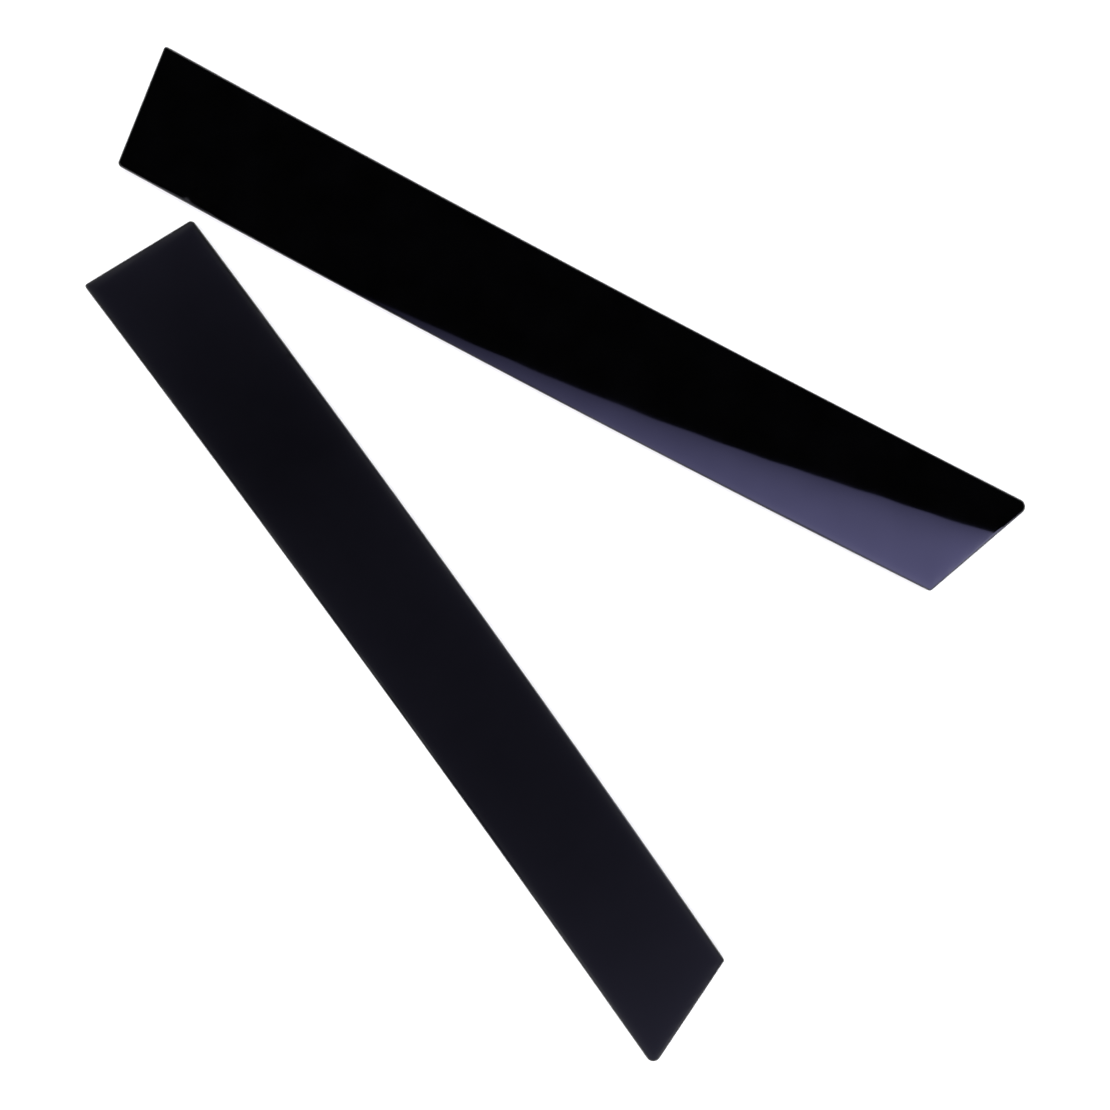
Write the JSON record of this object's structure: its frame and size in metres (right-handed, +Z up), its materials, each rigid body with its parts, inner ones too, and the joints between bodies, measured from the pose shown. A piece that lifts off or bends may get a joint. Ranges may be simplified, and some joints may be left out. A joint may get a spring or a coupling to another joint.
{
  "type": "kick plate",
  "caption": "Slender stick-on kick plates in gloss black plastic, right and left hand, each with a square end, a pointed end, slightly bowed sides and foam tape on the back.",
  "frame": {"origin": "centre of the underside of the pair's bounding box, on the surface that the plates lie on", "axes": "+Z up, out of the glossy faces; +Y and +X as in a view from above, with the square ends towards -X +Y, the right-hand plate nearer +Y and the left-hand plate nearer -Y"},
  "size_m": [0.4332, 0.4704, 0.0034],
  "materials": {
    "gloss_black": "high gloss piano black moulded plastic, matt on the back",
    "foam_tape": "dark grey closed-cell foam tape, matt",
    "release_film": "thin smooth red release film, slightly glossy"
  },
  "bodies": {
    "right_plate": {"right_face_plate": "gloss_black", "right_tape_long_edge": "foam_tape", "right_tape_short_edge": "foam_tape", "right_tape_square_end": "foam_tape", "right_tape_pointed_end": "foam_tape", "right_liner_long_edge": "release_film", "right_liner_short_edge": "release_film", "right_liner_square_end": "release_film", "right_liner_pointed_end": "release_film"},
    "left_plate": {"left_face_plate": "gloss_black", "left_tape_long_edge": "foam_tape", "left_tape_short_edge": "foam_tape", "left_tape_square_end": "foam_tape", "left_tape_pointed_end": "foam_tape", "left_liner_long_edge": "release_film", "left_liner_short_edge": "release_film", "left_liner_square_end": "release_film", "left_liner_pointed_end": "release_film"}
  },
  "joints": [
    {"name": "left_plate_lift", "type": "slide", "parent": "right_plate", "child": "left_plate", "axis": [0, 0, 1], "range_m": [0, 0.1]}
  ]
}
